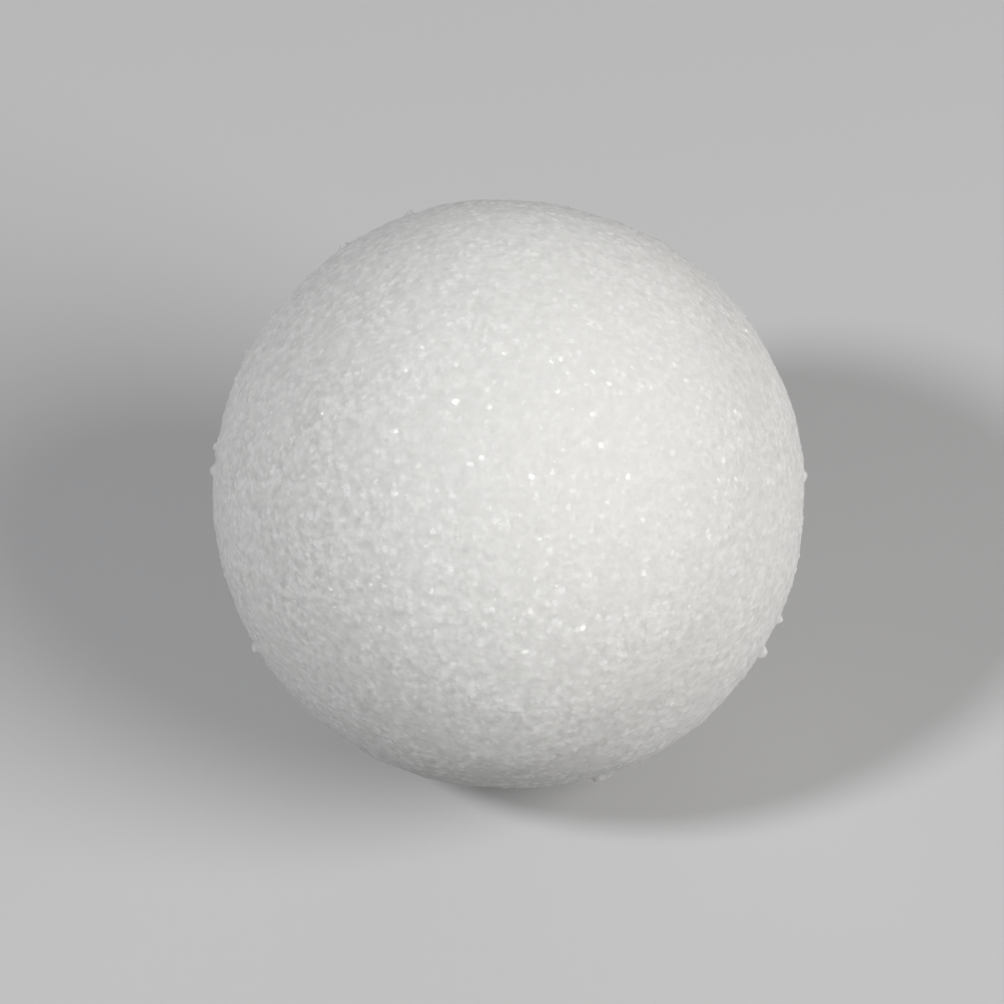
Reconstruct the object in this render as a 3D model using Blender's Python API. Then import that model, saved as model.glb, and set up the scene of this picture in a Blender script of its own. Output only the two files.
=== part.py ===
"""A solid ball of fine white polystyrene foam, cut and ground round, and lightly worn.

Lengths are in metres and angles in degrees. +Z is up, and the front is -Y.
The ball is one piece, with no core, seam or hole. The origin is the centre of its round form.
A direction on the ball is a bearing from +X, turning towards +Y, and a rise above level.
"""
import math

import bmesh
import bpy
from mathutils import Vector, noise

# The round form, which is a little longer one way than across
CROSS_DIAMETER = 0.0400
LONG_DIAMETER = 0.0402
LONG_BEARING = -57.0
LONG_RISE = -34.0

# The patch at the back of the top, where the curve is flattest from the front
CROWN_BEARING = 73.0
CROWN_RISE = 44.0
CROWN_WIDTH = 0.0200
CROWN_DEPTH = 0.00025

# The patch at the front of the foot
FOOT_BEARING = -86.0
FOOT_RISE = -39.0
FOOT_WIDTH = 0.0208
FOOT_DEPTH = 0.00028

# The small patch at the right
RIGHT_BEARING = -5.0
RIGHT_RISE = -1.0
RIGHT_WIDTH = 0.0088
RIGHT_DEPTH = 0.00016

# The shallow patch low on the left
LEFT_BEARING = -135.0
LEFT_RISE = -29.0
LEFT_WIDTH = 0.0206
LEFT_DEPTH = 0.00008

# The waviness that grinding leaves: its height either way, and the distance from wave to wave
WAVE_HEIGHT = 0.00010
WAVE_SPAN = 0.0038

# The mesh is a cube's six faces swelled to a ball, with this many squares along each edge
SQUARES_PER_EDGE = 28

FOAM_COLOUR = (0.80, 0.80, 0.785, 1.0)
FOAM_ROUGHNESS = 0.85
FOAM_METALLIC = 0.0


def direction(bearing, rise):
    """The unit vector towards a bearing and a rise."""
    turn = math.radians(bearing)
    lift = math.radians(rise)
    level = math.cos(lift)
    return Vector((level * math.cos(turn), level * math.sin(turn), math.sin(lift)))


def round_form(towards):
    """The distance from the centre to the round form's surface, before any wear."""
    along = towards.dot(direction(LONG_BEARING, LONG_RISE))
    across_squared = 1.0 - along * along
    half_long = LONG_DIAMETER / 2
    half_cross = CROSS_DIAMETER / 2
    return 1.0 / math.sqrt((along / half_long) ** 2 + across_squared / half_cross ** 2)


def worn_depth(towards, middle, width, depth):
    """How far one worn patch lowers the surface: all its depth at the middle, nothing from its rim on."""
    half_angle = width / CROSS_DIAMETER
    share = towards.angle(middle) / half_angle
    if share >= 1.0:
        return 0.0
    return depth * (1.0 - share * share) ** 2


def wear(towards):
    """How far all the worn patches together lower the surface."""
    crown = worn_depth(towards, direction(CROWN_BEARING, CROWN_RISE), CROWN_WIDTH, CROWN_DEPTH)
    foot = worn_depth(towards, direction(FOOT_BEARING, FOOT_RISE), FOOT_WIDTH, FOOT_DEPTH)
    right = worn_depth(towards, direction(RIGHT_BEARING, RIGHT_RISE), RIGHT_WIDTH, RIGHT_DEPTH)
    left = worn_depth(towards, direction(LEFT_BEARING, LEFT_RISE), LEFT_WIDTH, LEFT_DEPTH)
    return crown + foot + right + left


def surface_point(towards):
    """The point of the ball's surface in one direction from its centre."""
    worn = towards * (round_form(towards) - wear(towards))
    return worn + towards * WAVE_HEIGHT * noise.noise(worn / WAVE_SPAN)


def ball_mesh(name):
    """The ball's closed surface, from a cube whose squares are spread at equal angles."""
    bm = bmesh.new()
    bmesh.ops.create_cube(bm, size=2.0)
    bmesh.ops.subdivide_edges(bm, edges=bm.edges[:], cuts=SQUARES_PER_EDGE - 1, use_grid_fill=True)
    for vert in bm.verts:
        spread = Vector([math.tan(part * math.pi / 4) for part in vert.co])
        vert.co = surface_point(spread.normalized())
    bmesh.ops.recalc_face_normals(bm, faces=bm.faces[:])
    mesh = bpy.data.meshes.new(name)
    bm.to_mesh(mesh)
    bm.free()
    mesh.shade_smooth()
    return mesh


def foam_material():
    """Dry matt white foam."""
    material = bpy.data.materials.new("white_foam")
    material.use_nodes = True
    shader = material.node_tree.nodes["Principled BSDF"]
    shader.inputs["Base Color"].default_value = FOAM_COLOUR
    shader.inputs["Roughness"].default_value = FOAM_ROUGHNESS
    shader.inputs["Metallic"].default_value = FOAM_METALLIC
    material.diffuse_color = FOAM_COLOUR
    return material


def main():
    for old in list(bpy.data.objects):
        bpy.data.objects.remove(old, do_unlink=True)
    ball = bpy.data.objects.new("ball", ball_mesh("ball"))
    ball.data.materials.append(foam_material())
    bpy.context.scene.collection.objects.link(ball)


main()
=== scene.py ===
"""The looks of a white polystyrene foam ball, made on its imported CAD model.

Lengths are in metres and angles in degrees, unless a name says otherwise. The photograph's frame is
1004 by 1004 pixels, with y running down. Its camera looks along +Y and down.
"""
import math

import bmesh
import bpy
import numpy as np
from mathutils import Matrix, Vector, noise
from mathutils.bvhtree import BVHTree


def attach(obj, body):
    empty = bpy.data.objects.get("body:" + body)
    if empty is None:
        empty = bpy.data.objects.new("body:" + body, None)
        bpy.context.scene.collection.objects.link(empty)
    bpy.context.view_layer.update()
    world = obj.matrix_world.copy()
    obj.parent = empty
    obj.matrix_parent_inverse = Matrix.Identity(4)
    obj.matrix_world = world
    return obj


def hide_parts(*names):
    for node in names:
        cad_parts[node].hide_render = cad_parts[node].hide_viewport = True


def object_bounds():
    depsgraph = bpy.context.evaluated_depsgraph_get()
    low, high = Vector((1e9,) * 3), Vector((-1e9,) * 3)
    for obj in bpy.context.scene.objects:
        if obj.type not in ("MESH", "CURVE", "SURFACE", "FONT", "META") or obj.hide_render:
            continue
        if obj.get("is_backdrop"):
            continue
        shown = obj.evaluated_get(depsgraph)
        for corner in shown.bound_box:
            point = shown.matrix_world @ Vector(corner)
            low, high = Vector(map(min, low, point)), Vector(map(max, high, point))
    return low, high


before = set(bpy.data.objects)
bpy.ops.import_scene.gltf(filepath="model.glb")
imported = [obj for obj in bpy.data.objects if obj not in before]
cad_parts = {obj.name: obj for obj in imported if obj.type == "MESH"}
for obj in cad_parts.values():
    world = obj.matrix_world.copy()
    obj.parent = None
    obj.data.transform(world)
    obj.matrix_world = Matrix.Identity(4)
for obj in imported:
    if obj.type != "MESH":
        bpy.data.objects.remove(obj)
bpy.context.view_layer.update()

# The photograph: where the ball shows in it, and how it was looked at
PHOTO_PIXELS = 1004
BALL_CENTRE_PIXEL = (509.2, 494.7)
BALL_RADIUS_PIXELS = 295.8
BALL_RADIUS = 0.0200
CAMERA_RISE = 48.0
CAMERA_DISTANCE = 0.40
CLIP_START = 0.01
CLIP_END = 20.0

# How the CAD ball is smoothed before the skin is fitted over it
WELD_DISTANCE = 1e-6
SMOOTHING_LEVELS = 2

# The ground skin's mesh, a cube's faces swelled to a ball, and how far its points are strewn, as a share of their
# spacing. It comes to 12 times the square of this number of triangles, which stays under 200,000.
SQUARES_PER_EDGE = 128
POINT_JITTER = 0.28

# How high its grains, dents and swells stand, the distance from one to the next, and how much the high grains lead
GRAIN_HEIGHT = 0.000020
GRAIN_SKEW = 0.3
DENT_HEIGHT = 0.000008
DENT_SPAN = 0.00085
SWELL_HEIGHT = 0.000022
SWELL_SPAN = 0.0021

# Each point's own random value moves towards the mean of its neighbours by this share
NEIGHBOUR_SHARE = 0.4

# The grain's tone contrast and dust bumps are least round one direction, and grow from there on, as angles from it and
# shares
FINE_BEARING = -66.0
FINE_RISE = 58.0
FINE_COARSENESS = 0.65
FAR_COARSENESS = 2.9
COARSE_FROM = 5.0
COARSE_TO = 80.0

# Patches in the grain's strength: their span, their share, and the value that their noise seldom passes
PATCH_SPAN = 0.0035
PATCH_CONTRAST = 0.12
PATCH_NOISE_REACH = 0.25

# The foam's colour, and how much its tone changes from point to point: with the grains' height, as painted shade that
# darkens low grains and lightens proud ones, and by itself at random
FOAM_COLOUR = (0.80, 0.80, 0.785)
GRAIN_PAINTED_SHADE = 0.010
SPOT_TONE = 0.010
TONE_SKEW = 0.3
LIGHTEST_TONE = 1.22

# A cloudy change of tone, and the noise values that it runs between
MOTTLE_SPAN = 0.00072
MOTTLE_TONE = 0.022
MOTTLE_DETAIL = 2.0
MOTTLE_ROUGHNESS = 0.6
MOTTLE_NOISE_LOW = 0.25
MOTTLE_NOISE_HIGH = 0.75

# The foam's cells, which show as lighter dots of uneven strength, and a few of them as bright specks that are painted
# glints. A dot is strongest out to its core and ends at its edge, both as distances from its middle in cell spans.
CELL_SPAN = 0.00057
CELL_WARP = 0.0004
CELL_EDGE = 0.50
CELL_CORE = 0.12
CELL_TONE = 0.115
CELL_SPREAD = 2.0
# The rare bright specks are painted glints.
SPECK_PAINTED_GLINT = 0.19
SPECK_RARITY = 12.0

# The torn walls of some cells, which lean and glint. A cell's draw from 0 to 1 says how much of its wall is there.
GLINT_LEAN = 0.6
GLINT_WEIGHT = 1.0
GLINT_DRAW_NONE = 0.25
GLINT_DRAW_FULL = 0.6
WALL_IOR = 1.59
WALL_ROUGHNESS = 0.30

# The fine dust on the cells
DUST_SPAN = 0.00032
DUST_DETAIL = 1.0
DUST_HEIGHT = 0.00004

# How the foam takes light: matt, and soaked through, which evens out the shading of its relief, from 0 to 1
FOAM_ROUGHNESS = 0.75
FOAM_IOR = 1.45
FOAM_GLOSS = 0.25
SOAK_WEIGHT = 1.0
SOAK_RADIUS = (1.0, 1.0, 0.95)
SOAK_DISTANCE = 0.0009
SHADING_SOFTNESS = 0.6

# Crumbs of foam that stand out from the skin at the ball's outline, as pixels of the photograph and heights
CRUMBS = (
    (765, 654, 0.00042),
    (783, 621, 0.00024),
    (599, 778, 0.00042),
    (608, 775, 0.00030),
    (211, 446, 0.00034),
    (212, 470, 0.00028),
    (247, 354, 0.00028),
    (272, 314, 0.00026),
    (250, 652, 0.00034),
    (343, 245, 0.00030),
    (409, 213, 0.00026),
    (798, 476, 0.00024),
)
# Smaller crumbs strewn over the whole ball: their number, usual height, and how much their heights differ
STREWN_CRUMBS = 240
STREWN_HEIGHT = 0.00007
STREWN_SPREAD = 0.4
# A crumb's radius as a share of its height, how much painted light lightens it, and how far those at the outline lean
# to the camera
CRUMB_BREADTH = 0.95
CRUMB_PAINTED_LIGHT = 0.03
OUTLINE_LEAN = 0.05

# The floor, and the share of the light from below that it lets pass up
FLOOR_COLOUR = (0.60, 0.60, 0.605)
FLOOR_PASSES = 0.6
FLOOR_ROUGHNESS = 0.9
FLOOR_GLOSS = 0.1
FLOOR_RADIUS = 3.0
FLOOR_SIDES = 96

# The faint light from all round, and the background
FILL_LIGHT = (0.112, 0.112, 0.1134)
BACKGROUND = (0.50, 0.50, 0.505)

# The lamps, all at one distance: name, bearing, rise, the half angle that it fills, strength and colour
LAMP_DISTANCE = 0.9
LAMPS = (
    ("key", -30.0, 37.5, 18.0, 0.73, (1.0, 0.985, 0.965)),
    ("second", -148.0, 48.0, 4.5, 0.45, (0.985, 0.99, 1.0)),
    ("behind", 92.0, 12.0, 22.0, 0.11, (1.0, 1.0, 1.0)),
)

SEED = 7


def direction(bearing, rise):
    """The unit vector towards a bearing from +X and a rise above level."""
    turn = math.radians(bearing)
    lift = math.radians(rise)
    level = math.cos(lift)
    return Vector((level * math.cos(turn), level * math.sin(turn), math.sin(lift)))


def cad_surface(node):
    """A search tree over the CAD ball, smoothed between its flat faces."""
    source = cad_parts[node]
    cage = bpy.data.objects.new("cage", source.data.copy())
    bpy.context.scene.collection.objects.link(cage)
    weld = cage.modifiers.new("weld", "WELD")
    weld.merge_threshold = WELD_DISTANCE
    smooth = cage.modifiers.new("smooth", "SUBSURF")
    smooth.levels = SMOOTHING_LEVELS
    smooth.render_levels = SMOOTHING_LEVELS
    graph = bpy.context.evaluated_depsgraph_get()
    tree = BVHTree.FromObject(cage, graph)
    bpy.data.objects.remove(cage, do_unlink=True)
    return tree


def swelled_cube(squares, jitter, rng):
    """A closed mesh of directions from the centre: a cube's faces, swelled, their points strewn a little."""
    bm = bmesh.new()
    bmesh.ops.create_cube(bm, size=2.0)
    bmesh.ops.subdivide_edges(bm, edges=bm.edges[:], cuts=squares - 1, use_grid_fill=True)
    mesh = bpy.data.meshes.new("swelled_cube")
    bm.to_mesh(mesh)
    bm.free()
    count = len(mesh.vertices)
    points = np.zeros(count * 3)
    mesh.vertices.foreach_get("co", points)
    points = np.tan(points.reshape(-1, 3) * math.pi / 4)
    points /= np.linalg.norm(points, axis=1)[:, None]
    step = math.pi / 2 / squares
    points += rng.uniform(-jitter, jitter, (count, 3)) * step
    points /= np.linalg.norm(points, axis=1)[:, None]
    return mesh, points


def set_points(mesh, points):
    """Moves a mesh's points to new places, one row each."""
    mesh.vertices.foreach_set("co", np.asarray(points, dtype=np.float32).ravel())
    mesh.update()


def mixed(values, edges, share):
    """Each point's value moved towards the mean of its neighbours by a share."""
    total = np.zeros_like(values)
    count = np.zeros(len(values))
    for a, b in ((0, 1), (1, 0)):
        np.add.at(total, edges[:, a], values[edges[:, b]])
        np.add.at(count, edges[:, a], 1)
    return values * (1 - share) + share * total / count


def coarseness(points):
    """How strong the grain's tone contrast and dust bumps are at each point, from the angle to the finest side, with
    some patchiness.
    """
    towards = points / np.linalg.norm(points, axis=1)[:, None]
    angle = np.degrees(np.arccos(np.clip(towards @ np.array(direction(FINE_BEARING, FINE_RISE)), -1, 1)))
    share = np.clip((angle - COARSE_FROM) / (COARSE_TO - COARSE_FROM), 0, 1)
    share = share * share * (3 - 2 * share)
    patches = np.array([noise.noise(Vector(p) / PATCH_SPAN) for p in points]) / PATCH_NOISE_REACH
    return (FINE_COARSENESS + (FAR_COARSENESS - FINE_COARSENESS) * share) * (1 + PATCH_CONTRAST * patches)


def carry(mesh, name, values):
    """Stores a value for each point on the mesh, where its material reads it."""
    mesh.attributes.new(name, "FLOAT", "POINT").data.foreach_set("value", np.asarray(values, dtype=np.float32))


def relief(points, edges, coarse, rng):
    """The height and the tone of the ground foam at each point of the smooth ball. What stands proud is painted lighter
    and what lies low darker, as painted shade.
    """
    count = len(points)
    torn = mixed(rng.normal(0, 1, count), edges, NEIGHBOUR_SHARE)
    torn /= torn.std()
    torn += GRAIN_SKEW * (torn * torn - 1)
    dents = np.zeros(count)
    swells = np.zeros(count)
    for i, p in enumerate(points):
        place = Vector(p)
        dents[i] = noise.noise(place / DENT_SPAN)
        swells[i] = noise.noise(place / SWELL_SPAN)
    dents /= dents.std()
    swells /= swells.std()
    heights = GRAIN_HEIGHT * torn + DENT_HEIGHT * dents + SWELL_HEIGHT * swells
    spots = mixed(rng.normal(0, 1, count), edges, NEIGHBOUR_SHARE)
    spots /= spots.std()
    spots += TONE_SKEW * (spots * spots - 1)
    # The grains' height goes into the tone as painted shade, lighter where they stand proud and darker where they lie
    # low; the spots differ at random.
    tones_with_painted_shade = 1 + coarse * (GRAIN_PAINTED_SHADE * torn + SPOT_TONE * spots)
    return heights, tones_with_painted_shade


def outline_direction(pixel):
    """The direction from the ball's centre to a pixel at its outline."""
    back = direction(-90, CAMERA_RISE)
    right = Vector((1, 0, 0))
    up = back.cross(right)
    aside = (pixel[0] - BALL_CENTRE_PIXEL[0]) / BALL_RADIUS_PIXELS
    above = (BALL_CENTRE_PIXEL[1] - pixel[1]) / BALL_RADIUS_PIXELS
    return (right * aside + up * above + back * OUTLINE_LEAN).normalized()


def crumbs(points, rng):
    """How far crumbs of foam raise each point: those at the outline, and smaller ones all over.

    A crumb is a dome on the point that lies nearest to its place.
    """
    wanted = [(outline_direction((x, y)), height) for x, y, height in CRUMBS]
    for _ in range(STREWN_CRUMBS):
        towards = Vector(rng.normal(0, 1, 3)).normalized()
        wanted.append((towards, STREWN_HEIGHT * math.exp(rng.normal(0, STREWN_SPREAD))))
    raised = np.zeros(len(points))
    for towards, height in wanted:
        away = np.linalg.norm(points - np.array(towards) * BALL_RADIUS, axis=1)
        away -= away.min()
        share = np.minimum(away / (CRUMB_BREADTH * height), 1)
        raised = np.maximum(raised, height * np.sqrt(1 - share * share))
    return raised


def foam_skin(tree, rng):
    """The ball's ground surface, fitted over the CAD ball."""
    mesh, towards = swelled_cube(SQUARES_PER_EDGE, POINT_JITTER, rng)
    centre = Vector((0, 0, 0))
    smooth = np.array([tree.ray_cast(centre, Vector(t))[0] for t in towards])
    edges = np.zeros(len(mesh.edges) * 2, dtype=np.int64)
    mesh.edges.foreach_get("vertices", edges)
    coarse = coarseness(smooth)
    heights, tones_with_painted_shade = relief(smooth, edges.reshape(-1, 2), coarse, rng)
    raised = crumbs(smooth, rng)
    set_points(mesh, smooth + towards * (heights + raised)[:, None])
    # Crumbs are painted lighter, as painted light on what stands proud.
    carry(mesh, "tone", tones_with_painted_shade + CRUMB_PAINTED_LIGHT * (raised > 0))
    carry(mesh, "coarse", coarse)
    bm = bmesh.new()
    bm.from_mesh(mesh)
    bmesh.ops.triangulate(bm, faces=bm.faces[:], quad_method="BEAUTY")
    bmesh.ops.recalc_face_normals(bm, faces=bm.faces[:])
    bm.to_mesh(mesh)
    bm.free()
    mesh.shade_smooth()
    mesh.name = "foam_skin"
    skin = bpy.data.objects.new("foam_skin", mesh)
    bpy.context.scene.collection.objects.link(skin)
    return skin


def chained(nodes, links, kind, inputs, operation=None):
    """A new node of a kind, with its inputs, numbered or named, linked to sockets or set to values."""
    made = nodes.new(kind)
    if operation:
        made.operation = operation
    for key, value in inputs.items():
        if isinstance(value, bpy.types.NodeSocket):
            links.new(value, made.inputs[key])
        else:
            made.inputs[key].default_value = value
    return made


def mix_sockets(node, kind):
    """A Mix node's two inputs and its output for one kind of value."""
    first, second = [socket for socket in node.inputs if socket.name in ("A", "B") and socket.type == kind]
    result = [socket for socket in node.outputs if socket.type == kind][0]
    return first, second, result


def new_material(name):
    """A material with its nodes, its links and its shader."""
    material = bpy.data.materials.new(name)
    material.use_nodes = True
    tree = material.node_tree
    return material, tree.nodes, tree.links, tree.nodes["Principled BSDF"]


def foam_material(name):
    """White foam whose tone changes from cell to cell, with painted shade and light carried from the skin, bright
    specks that are painted glints, fine dust, and torn walls that glint.
    """
    material, nodes, links, shader = new_material(name)
    shader.inputs["Roughness"].default_value = FOAM_ROUGHNESS
    shader.inputs["IOR"].default_value = FOAM_IOR
    shader.inputs["Specular IOR Level"].default_value = FOAM_GLOSS
    shader.inputs["Subsurface Weight"].default_value = SOAK_WEIGHT
    shader.inputs["Subsurface Radius"].default_value = SOAK_RADIUS
    shader.inputs["Subsurface Scale"].default_value = SOAK_DISTANCE
    shader.inputs["Coat IOR"].default_value = WALL_IOR
    shader.inputs["Coat Roughness"].default_value = WALL_ROUGHNESS

    def add(kind, inputs, operation=None):
        return chained(nodes, links, kind, inputs, operation)

    place = nodes.new("ShaderNodeTexCoord").outputs["Object"]
    # The tone carried from the skin holds painted shade from the grains' height and painted light on the crumbs,
    # besides tone that differs at random.
    carried_tone_and_painted_shade = nodes.new("ShaderNodeAttribute")
    carried_tone_and_painted_shade.attribute_name = "tone"
    coarse = nodes.new("ShaderNodeAttribute")
    coarse.attribute_name = "coarse"

    # The cloudy change of tone
    mottle = add("ShaderNodeTexNoise", {
        "Vector": place, "Scale": 1 / MOTTLE_SPAN, "Detail": MOTTLE_DETAIL, "Roughness": MOTTLE_ROUGHNESS})
    uneven = add("ShaderNodeMapRange", {
        "Value": mottle.outputs["Fac"], "From Min": MOTTLE_NOISE_LOW, "From Max": MOTTLE_NOISE_HIGH,
        "To Min": -2 * MOTTLE_TONE, "To Max": 2 * MOTTLE_TONE})

    # The cells, whose form the dust's noise warps. Each has a draw of its own from 0 to 1.
    dust = add("ShaderNodeTexNoise", {"Vector": place, "Scale": 1 / DUST_SPAN, "Detail": DUST_DETAIL})
    warped = add("ShaderNodeVectorMath", {0: dust.outputs["Color"], 1: (CELL_WARP,) * 3, 2: place}, "MULTIPLY_ADD")
    cells = add("ShaderNodeTexVoronoi", {"Vector": warped.outputs["Vector"], "Scale": 1 / CELL_SPAN})
    draw = add("ShaderNodeTexWhiteNoise", {"Vector": cells.outputs["Position"]})
    near = add("ShaderNodeMapRange", {
        "Value": cells.outputs["Distance"], "From Min": CELL_EDGE, "From Max": CELL_CORE,
        "To Min": 0.0, "To Max": 1.0})
    near.interpolation_type = "SMOOTHSTEP"

    # How much lighter a cell is, usually a little and rarely a lot as a painted glint, and the tone that this comes to
    # with the painted shade carried from the skin
    usual = add("ShaderNodeMath", {0: draw.outputs["Value"], 1: CELL_SPREAD}, "POWER")
    lift = add("ShaderNodeMath", {0: usual.outputs["Value"], 1: CELL_TONE}, "MULTIPLY")
    # A painted glint: a few cells much lighter than the rest.
    rare_painted_glint = add("ShaderNodeMath", {0: draw.outputs["Value"], 1: SPECK_RARITY}, "POWER")
    cell_tone_and_painted_glint = add("ShaderNodeMath", {
        0: rare_painted_glint.outputs["Value"], 1: SPECK_PAINTED_GLINT, 2: lift.outputs["Value"]}, "MULTIPLY_ADD")
    shown = add("ShaderNodeMath", {
        0: near.outputs["Result"], 1: cell_tone_and_painted_glint.outputs["Value"], 2: uneven.outputs["Result"]}, "MULTIPLY_ADD")
    tone = add("ShaderNodeMath", {
        0: shown.outputs["Value"], 1: coarse.outputs["Fac"], 2: carried_tone_and_painted_shade.outputs["Fac"]}, "MULTIPLY_ADD")
    capped = add("ShaderNodeMath", {0: tone.outputs["Value"], 1: LIGHTEST_TONE}, "MINIMUM")
    colour = add("ShaderNodeVectorMath", {0: FOAM_COLOUR, "Scale": capped.outputs["Value"]}, "SCALE")
    links.new(colour.outputs["Vector"], shader.inputs["Base Color"])

    # The dust's bumps, then the shading softened towards that of a smooth ball
    raised = add("ShaderNodeMath", {0: dust.outputs["Fac"], 1: coarse.outputs["Fac"]}, "MULTIPLY")
    bump = add("ShaderNodeBump", {"Height": raised.outputs["Value"], "Strength": 1.0, "Distance": DUST_HEIGHT})
    outward = add("ShaderNodeVectorTransform", {"Vector": place})
    outward.vector_type = "NORMAL"
    outward.convert_from = "OBJECT"
    outward.convert_to = "WORLD"
    softened = nodes.new("ShaderNodeMix")
    softened.data_type = "VECTOR"
    softened.inputs["Factor"].default_value = SHADING_SOFTNESS
    rough, smooth, between = mix_sockets(softened, "VECTOR")
    links.new(bump.outputs["Normal"], rough)
    links.new(outward.outputs["Vector"], smooth)
    even = add("ShaderNodeVectorMath", {0: between}, "NORMALIZE")
    links.new(even.outputs["Vector"], shader.inputs["Normal"])

    # The torn walls, each leaning its own way
    lean = add("ShaderNodeVectorMath", {
        0: cells.outputs["Color"], 1: (2 * GLINT_LEAN,) * 3, 2: (-GLINT_LEAN,) * 3}, "MULTIPLY_ADD")
    facing = nodes.new("ShaderNodeNewGeometry")
    tilted = add("ShaderNodeVectorMath", {0: facing.outputs["Normal"], 1: lean.outputs["Vector"]}, "ADD")
    unit = add("ShaderNodeVectorMath", {0: tilted.outputs["Vector"]}, "NORMALIZE")
    links.new(unit.outputs["Vector"], shader.inputs["Coat Normal"])
    some = add("ShaderNodeMapRange", {
        "Value": draw.outputs["Value"], "From Min": GLINT_DRAW_NONE, "From Max": GLINT_DRAW_FULL,
        "To Min": 0.0, "To Max": GLINT_WEIGHT})
    glint = add("ShaderNodeMath", {0: near.outputs["Result"], 1: some.outputs["Result"]}, "MULTIPLY")
    links.new(glint.outputs["Value"], shader.inputs["Coat Weight"])
    return material


def seen_straight(nodes, links):
    """1 for a ray that shows a surface, straight, mirrored or through glass, and 0 for one that lights others."""
    path = nodes.new("ShaderNodeLightPath")
    either = chained(nodes, links, "ShaderNodeMath",
                     {0: path.outputs["Is Camera Ray"], 1: path.outputs["Is Glossy Ray"]}, "MAXIMUM")
    return chained(nodes, links, "ShaderNodeMath",
                   {0: either.outputs["Value"], 1: path.outputs["Is Transmission Ray"]}, "MAXIMUM").outputs["Value"]


def floor_material():
    """A pale floor that lets some of the light from all round pass up to the ball.

    From below, the camera sees through it.
    """
    material, nodes, links, shader = new_material("pale_floor")
    shader.inputs["Base Color"].default_value = (*FLOOR_COLOUR, 1)
    shader.inputs["Roughness"].default_value = FLOOR_ROUGHNESS
    shader.inputs["Specular IOR Level"].default_value = FLOOR_GLOSS
    passed = chained(nodes, links, "ShaderNodeMapRange", {
        "Value": seen_straight(nodes, links), "From Min": 0.0, "From Max": 1.0,
        "To Min": FLOOR_PASSES, "To Max": 0.0})
    side = nodes.new("ShaderNodeNewGeometry")
    share = chained(nodes, links, "ShaderNodeMath",
                    {0: side.outputs["Backfacing"], 1: passed.outputs["Result"]}, "MAXIMUM")
    clear = nodes.new("ShaderNodeBsdfTransparent")
    both = nodes.new("ShaderNodeMixShader")
    links.new(share.outputs["Value"], both.inputs["Fac"])
    links.new(shader.outputs["BSDF"], both.inputs[1])
    links.new(clear.outputs["BSDF"], both.inputs[2])
    links.new(both.outputs["Shader"], nodes["Material Output"].inputs["Surface"])
    return material


def make_floor(height):
    """A round, level floor at a height."""
    bm = bmesh.new()
    bmesh.ops.create_circle(bm, cap_ends=True, segments=FLOOR_SIDES, radius=FLOOR_RADIUS)
    mesh = bpy.data.meshes.new("floor")
    bm.to_mesh(mesh)
    bm.free()
    mesh.materials.append(floor_material())
    floor = bpy.data.objects.new("floor", mesh)
    floor.location.z = height
    bpy.context.scene.collection.objects.link(floor)
    floor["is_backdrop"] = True


def make_camera():
    """The camera stands off the ball along the photograph's line of sight, and puts it where the photograph has it."""
    back = direction(-90, CAMERA_RISE)
    right = Vector((1, 0, 0))
    up = back.cross(right)
    metres_per_pixel = BALL_RADIUS / BALL_RADIUS_PIXELS
    middle = PHOTO_PIXELS / 2
    aside = (middle - BALL_CENTRE_PIXEL[0]) * metres_per_pixel
    down = (middle - BALL_CENTRE_PIXEL[1]) * metres_per_pixel
    data = bpy.data.cameras.new("camera")
    half_ball = math.asin(BALL_RADIUS / CAMERA_DISTANCE)
    focal_pixels = BALL_RADIUS_PIXELS / math.tan(half_ball)
    data.lens = data.sensor_width * focal_pixels / PHOTO_PIXELS
    data.clip_start = CLIP_START
    data.clip_end = CLIP_END
    camera = bpy.data.objects.new("camera", data)
    camera.location = back * CAMERA_DISTANCE + right * aside - up * down
    camera.rotation_mode = "QUATERNION"
    camera.rotation_quaternion = (-back).to_track_quat("-Z", "Y")
    bpy.context.scene.collection.objects.link(camera)
    bpy.context.scene.camera = camera


def soft_light(name, bearing, rise, half_angle, strength, colour):
    """A round soft lamp, as wide as half_angle says, aimed at the ball.

    Its strength is the radiance that it gives a white matt surface at the ball that faces it.
    """
    data = bpy.data.lights.new(name, "AREA")
    data.shape = "DISK"
    data.size = 2 * LAMP_DISTANCE * math.tan(math.radians(half_angle))
    data.energy = strength * math.pi * math.pi * LAMP_DISTANCE * LAMP_DISTANCE
    data.color = colour
    lamp = bpy.data.objects.new(name, data)
    away = direction(bearing, rise)
    lamp.location = away * LAMP_DISTANCE
    lamp.rotation_mode = "QUATERNION"
    lamp.rotation_quaternion = away.to_track_quat("Z", "Y")
    bpy.context.scene.collection.objects.link(lamp)


def make_world():
    """Faint light from all round, in front of a pale background."""
    world = bpy.data.worlds.new("studio")
    bpy.context.scene.world = world
    world.use_nodes = True
    nodes = world.node_tree.nodes
    links = world.node_tree.links
    colour = nodes.new("ShaderNodeMix")
    colour.data_type = "RGBA"
    links.new(seen_straight(nodes, links), colour.inputs["Factor"])
    lighting, seen, result = mix_sockets(colour, "RGBA")
    lighting.default_value = (*FILL_LIGHT, 1)
    seen.default_value = (*BACKGROUND, 1)
    links.new(result, nodes["Background"].inputs["Color"])
    nodes["Background"].inputs["Strength"].default_value = 1.0


rng = np.random.default_rng(SEED)
ball_tree = cad_surface("ball")
skin = foam_skin(ball_tree, rng)
skin.data.materials.append(foam_material("ground_foam"))
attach(skin, "root")
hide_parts("ball")

make_floor(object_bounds()[0].z)
make_camera()
for lamp in LAMPS:
    soft_light(*lamp)
make_world()
bpy.context.scene.view_settings.view_transform = "Standard"
